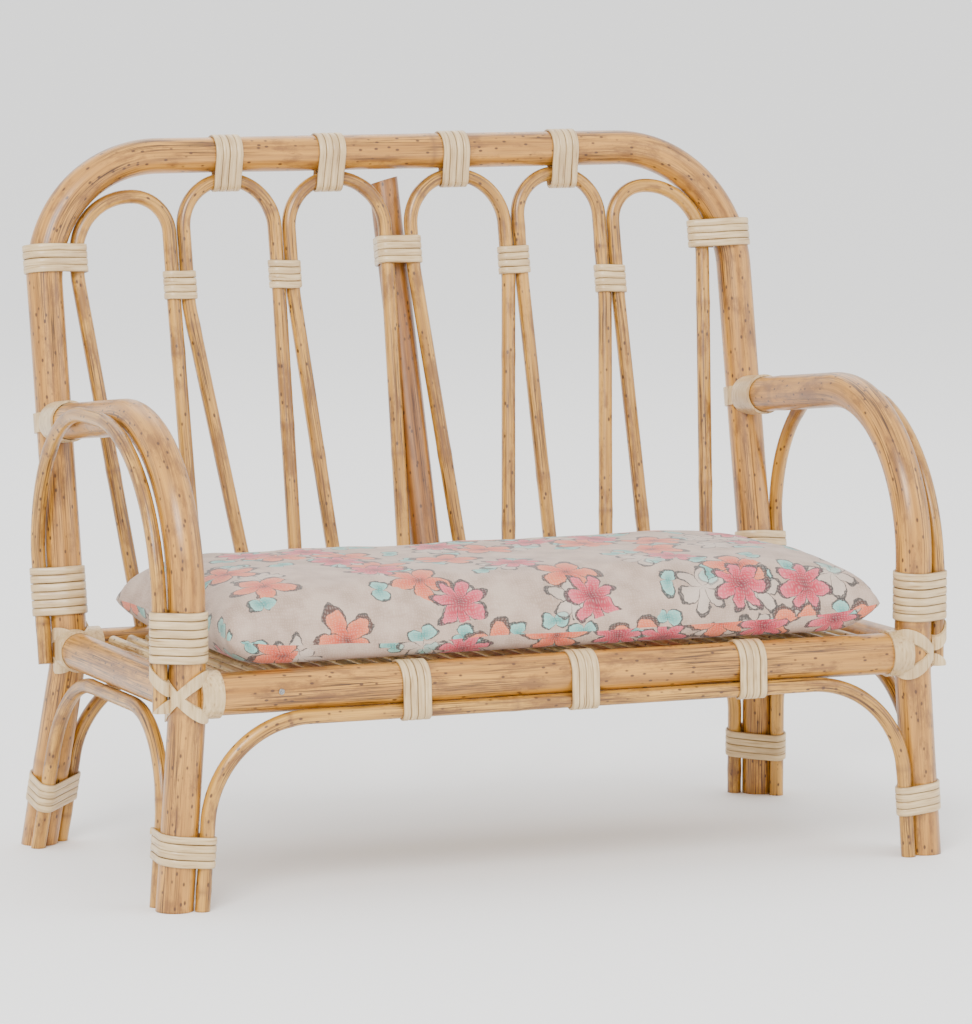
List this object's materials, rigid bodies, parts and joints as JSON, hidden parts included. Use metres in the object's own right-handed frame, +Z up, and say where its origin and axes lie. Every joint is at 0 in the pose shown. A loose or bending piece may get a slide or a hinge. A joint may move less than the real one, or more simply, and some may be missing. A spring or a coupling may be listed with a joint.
{
  "type": "miniature rattan settee",
  "caption": "Doll settee of bent round cane bound with peel: looped back, arched arms and aprons, slatted seat and a loose floral cushion, for seating dolls.",
  "frame": {"origin": "on the floor, at the middle of the settee's outer width and depth", "axes": "+Z up; the front faces -Y; +X is to the right of someone looking at the front"},
  "size_m": [0.414, 0.248, 0.3487],
  "materials": {
    "main_cane": "satin",
    "thin_cane": "satin",
    "peel": "satin",
    "nail": "dull",
    "linen": "matt",
    "filling": "matt"
  },
  "bodies": {
    "frame": {"arm_binding_left": "peel", "arm_binding_right": "peel", "arm_loop_left": "thin_cane", "arm_loop_right": "thin_cane", "arm_pole_left": "main_cane", "arm_pole_right": "main_cane", "back_hoop": "main_cane", "back_loop_1": "thin_cane", "back_loop_2": "thin_cane", "back_loop_3": "thin_cane", "back_loop_4": "thin_cane", "back_loop_5": "thin_cane", "back_loop_6": "thin_cane", "centre_post": "main_cane", "centre_stay": "thin_cane", "corner_lashing_front_left": "peel", "corner_lashing_front_right": "peel", "corner_lashing_rear_left": "peel", "corner_lashing_rear_right": "peel", "foot_binding_front_left": "peel", "foot_binding_front_right": "peel", "foot_binding_rear_left": "peel", "foot_binding_rear_right": "peel", "front_apron_arch": "thin_cane", "front_ledger": "thin_cane", "front_rail_nail": "nail", "front_rail_wrap_1": "peel", "front_rail_wrap_2": "peel", "front_rail_wrap_3": "peel", "front_seat_rail": "main_cane", "hoop_tie_left": "peel", "hoop_tie_right": "peel", "loop_tie_1": "peel", "loop_tie_2": "peel", "loop_tie_3": "peel", "loop_tie_4": "peel", "loop_tie_5": "peel", "rear_apron_arch": "thin_cane", "rear_ledger": "thin_cane", "rear_rail_wrap_1": "peel", "rear_rail_wrap_2": "peel", "rear_rail_wrap_3": "peel", "rear_seat_rail": "main_cane", "seat_binding_front_left": "peel", "seat_binding_front_right": "peel", "seat_binding_rear_left": "peel", "seat_binding_rear_right": "peel", "seat_slats": "thin_cane", "side_arch_left": "thin_cane", "side_arch_right": "thin_cane", "side_rail_left": "main_cane", "side_rail_right": "main_cane", "top_rail_wrap_1": "peel", "top_rail_wrap_2": "peel", "top_rail_wrap_3": "peel", "top_rail_wrap_4": "peel"},
    "cushion": {"cushion_top_panel": "linen", "cushion_bottom_panel": "linen", "cushion_filling": "filling"}
  },
  "joints": [
    {"name": "cushion_lift", "type": "slide", "parent": "frame", "child": "cushion", "axis": [0, 0, 1], "range_m": [0, 0.13]}
  ]
}
